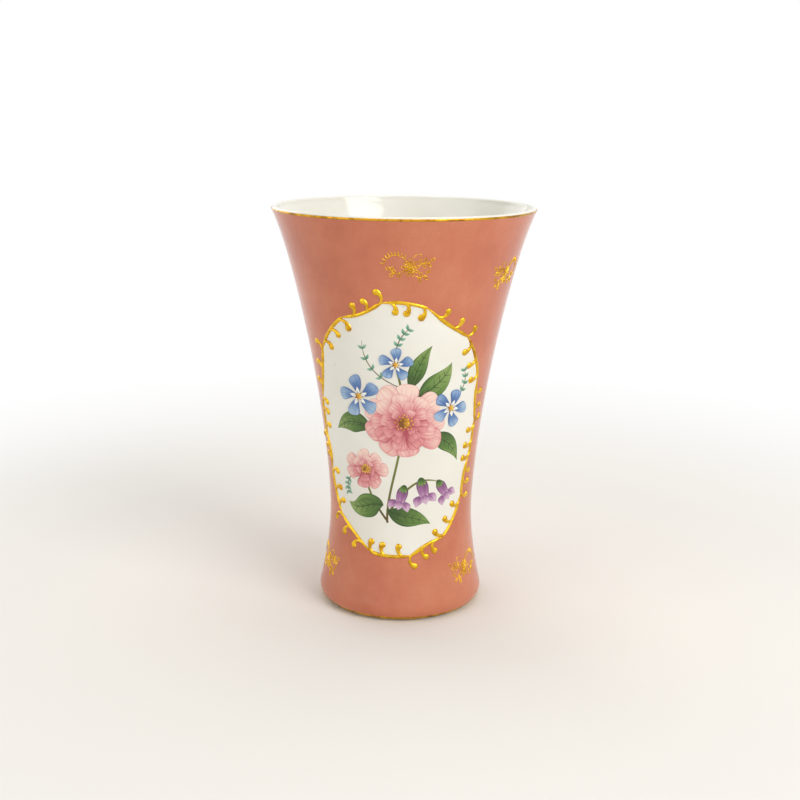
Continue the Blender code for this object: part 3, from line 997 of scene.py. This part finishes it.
def build_painting():
    """A loose bunch: pink blossoms, blue pinwheels, violet bells and green leaves."""
    looks = {
        "pink": (srgb(176, 74, 88), srgb(222, 146, 148), srgb(245, 216, 203), 13, 0.4),
        "blue": (srgb(58, 88, 150), srgb(98, 134, 186), srgb(164, 190, 216), 11, 0.4),
        "violet": (srgb(112, 62, 112), srgb(160, 108, 154), srgb(210, 178, 202), 9, 0.4),
        "leaf": (srgb(54, 84, 34), srgb(92, 128, 56), srgb(146, 170, 96), 7, 0.5),
        "rib": (srgb(44, 66, 26), srgb(56, 80, 34), srgb(84, 108, 56), 2, 0),
        "stem": (srgb(92, 70, 34), srgb(104, 104, 44), srgb(126, 136, 66), 2, 0.3),
        "teal": (srgb(74, 134, 112), srgb(112, 166, 140), srgb(160, 196, 172), 3, 0.3),
        "white": (srgb(214, 220, 222), srgb(236, 238, 232), srgb(246, 246, 240), 4, 0),
        "gold": (srgb(128, 76, 20), srgb(206, 146, 36), srgb(240, 200, 84), 3, 0.3),
    }
    painting = Painting(looks)
    stems = (((-4, -47), (-5, -32), (3, -14), (3, 4)),
             ((-4, -46), (-10, -38), (-15, -30), (-15, -20)),
             ((8, 2), (16, 1), (22, 5), (27, 11)),
             ((2, 6), (-8, 12), (-14, 12), (-18, 17)),
             ((3, 12), (3, 24), (1, 28), (0, 34)),
             ((-3, -41), (4, -30), (10, -21), (22, -27)))
    for points in stems:
        painting.mark("stem", points, STEM_HALF_WIDTH, line_outline, layer=1, tone=0.6)
    painting.leaf(((10, 18), (17, 21), (24, 26), (27, 34)), 5.4, layer=2, tone=0.6)
    painting.leaf(((6, 22), (10, 30), (11, 36), (17, 43)), 4.0, layer=4, tone=0.45)
    painting.leaf(((-12, 1), (-20, 5), (-26, 4), (-32, -2)), 5.4, layer=2, tone=0.5)
    painting.leaf(((-6, -38), (-12, -36), (-19, -44), (-25, -39)), 6.2, layer=2, tone=0.55)
    painting.leaf(((-4, -40), (3, -45), (10, -43), (17, -48)), 5.0, layer=4, tone=0.35)
    painting.leaf(((16, -3), (24, -4), (29, -8), (32, -17)), 4.6, layer=2, tone=0.4)
    painting.sprig(((1, 23), (-8, 27), (-16, 33), (-16, 45)), layer=1)
    painting.sprig(((0, 38), (0, 44), (3, 49), (7, 52)), layer=1)
    painting.sprig(((-22, -24), (-26, -27), (-27, -31), (-25, -35)), layer=1)
    painting.sprig(((29, 15), (35, 19), (37, 25), (34, 31)), layer=1)
    bells = (((4, -28), -104, 10.5), ((12, -24.5), -78, 11.5), ((21, -26.5), -58, 10.5))
    for top, degrees, length in bells:
        painting.bell(top, math.radians(degrees), length, layer=8)
    small_rows = ((1.0, 7, 0.42), (0.68, 6, 0.32), (0.44, 5, 0.22))
    large_rows = ((1.0, 9, 0.37), (0.78, 9, 0.29), (0.58, 8, 0.22), (0.38, 6, 0.16))
    painting.blossom((-15, -20), 11.5, small_rows, layer=8)
    painting.blossom((4, 5), 20.5, large_rows, layer=28)
    painting.pinwheel((-18, 17), 10.5, turn=0.4, layer=62)
    painting.pinwheel((27, 11), 9.5, turn=1.0, layer=62)
    painting.pinwheel((0, 34), 8.0, turn=0.1, layer=62)
    for colour, look in looks.items():
        material = enamel_paint(f"{colour}_enamel", *look)
        painting.shapes[colour].build(f"painted_{colour}", material, "porcelain")


# Stage

def background_share(tree):
    """1 for a ray that shows the background: to the camera, in a gloss or through glass."""
    path = tree.nodes.new("ShaderNodeLightPath")
    share = path.outputs["Is Camera Ray"]
    for kind in ("Is Glossy Ray", "Is Transmission Ray"):
        either = tree.nodes.new("ShaderNodeMath")
        either.operation = "MAXIMUM"
        tree.links.new(share, either.inputs[0])
        tree.links.new(path.outputs[kind], either.inputs[1])
        share = either.outputs[0]
    return share


def backdrop_paint():
    """Pale paper that takes the vase's shadow and looks white farther off."""
    paint = Paint("backdrop_paper", roughness=0.9)
    paint.shader.inputs["Base Color"].default_value = (*srgb(240, 238, 233), 1.0)
    glow = paint.node("ShaderNodeEmission")
    far = paint.node("ShaderNodeVectorMath", ((0, paint.place()),), operation="LENGTH").outputs["Value"]
    fade_links = (("Value", far), ("From Min", GLOW_START), ("From Max", GLOW_END))
    fade = paint.node("ShaderNodeMapRange", fade_links, interpolation_type="SMOOTHSTEP").outputs[0]
    share = paint.maths("MULTIPLY", fade, background_share(paint.tree))
    look_links = ((0, share), (1, paint.shader.outputs[0]), (2, glow.outputs[0]))
    look = paint.node("ShaderNodeMixShader", look_links)
    paint.tree.links.new(look.outputs[0], paint.tree.nodes["Material Output"].inputs["Surface"])
    return paint.material


def build_stage():
    """Pale floor that curves up into a backdrop."""
    outline = [(FLOOR_FRONT, 0.0), (FLOOR_BEND_START, 0.0)]
    for angle in spaced(0, math.pi / 2, BACKDROP_STEPS)[1:]:
        y = FLOOR_BEND_START + FLOOR_BEND_RADIUS * math.sin(angle)
        outline.append((y, FLOOR_BEND_RADIUS - FLOOR_BEND_RADIUS * math.cos(angle)))
    outline.append((FLOOR_BEND_START + FLOOR_BEND_RADIUS, BACKDROP_TOP))
    points = []
    for y, z in outline:
        points += [(-FLOOR_HALF_WIDTH, y, z), (FLOOR_HALF_WIDTH, y, z)]
    faces = [(2 * row, 2 * row + 1, 2 * row + 3, 2 * row + 2) for row in range(len(outline) - 1)]
    mesh = bpy.data.meshes.new("backdrop")
    mesh.from_pydata(points, [], faces)
    mesh.shade_smooth()
    mesh.materials.append(backdrop_paint())
    backdrop = bpy.data.objects.new("backdrop", mesh)
    bpy.context.scene.collection.objects.link(backdrop)


def add_softbox(name, place, size, power, colour):
    """Square soft light that faces the middle of the vase."""
    light = bpy.data.lights.new(name, "AREA")
    light.size = size
    light.energy = power
    light.color = colour
    lamp = bpy.data.objects.new(name, light)
    lamp.location = place
    aim = Vector((0, 0, HEIGHT / 2)) - Vector(place)
    lamp.rotation_euler = aim.to_track_quat("-Z", "Y").to_euler()
    bpy.context.scene.collection.objects.link(lamp)


def build_light():
    """White room, and four soft lights."""
    world = bpy.data.worlds.new("room")
    world.use_nodes = True
    nodes = world.node_tree.nodes
    links = world.node_tree.links
    room = nodes["Background"]
    room.inputs["Color"].default_value = (*ROOM_WHITE, 1.0)
    room.inputs["Strength"].default_value = ROOM_STRENGTH
    seen = nodes.new("ShaderNodeBackground")
    seen.inputs["Color"].default_value = (1.0, 1.0, 1.0, 1.0)
    look = nodes.new("ShaderNodeMixShader")
    links.new(background_share(world.node_tree), look.inputs[0])
    links.new(room.outputs[0], look.inputs[1])
    links.new(seen.outputs[0], look.inputs[2])
    links.new(look.outputs[0], nodes["World Output"].inputs["Surface"])
    bpy.context.scene.world = world
    add_softbox("key", (0.85, -0.75, 0.75), size=0.7, power=8.5, colour=KEY_WHITE)
    add_softbox("fill", (-0.9, -0.7, 0.45), size=0.9, power=2.5, colour=SOFT_WHITE)
    add_softbox("top", (0.05, 0.25, 1.2), size=0.8, power=4.0, colour=SOFT_WHITE)
    add_softbox("back", (-0.8, 0.85, 0.6), size=0.8, power=2.5, colour=SOFT_WHITE)


def build_camera():
    """Camera at the photograph's viewing angle."""
    data = bpy.data.cameras.new("camera")
    data.lens = CAMERA_LENS
    data.sensor_width = CAMERA_SENSOR
    data.clip_start = CAMERA_NEAR
    camera = bpy.data.objects.new("camera", data)
    round_vase = Matrix.Rotation(CAMERA_ROUND, 4, "Z")
    stand = Matrix.Translation((CAMERA_ASIDE, -CAMERA_DISTANCE, CAMERA_HEIGHT))
    look = Euler((math.pi / 2 - CAMERA_PITCH, 0, 0)).to_matrix().to_4x4()
    camera.matrix_world = round_vase @ stand @ look @ Matrix.Rotation(CAMERA_ROLL, 4, "Z")
    bpy.context.scene.collection.objects.link(camera)
    bpy.context.scene.camera = camera


def main():
    """Dress the vase and set the stage."""
    gold = gold_paint("burnished_gold", srgb(186, 130, 30), srgb(232, 187, 50), roughness=0.26)
    line_gold = gold_paint("line_gold", srgb(146, 96, 22), srgb(214, 162, 46), roughness=0.18)
    build_body()
    build_ground()
    build_band("gilt_rim_band", "rim_gilding", rim_band_point, RIM_BAND_WAVER, line_gold)
    build_band("gilt_foot_band", "foot_gilding", foot_band_point, FOOT_BAND_WAVER, line_gold)
    build_border(gold)
    build_sprays(gold)
    build_painting()
    build_stage()
    build_light()
    build_camera()
    bpy.context.scene.view_settings.view_transform = "Standard"


main()
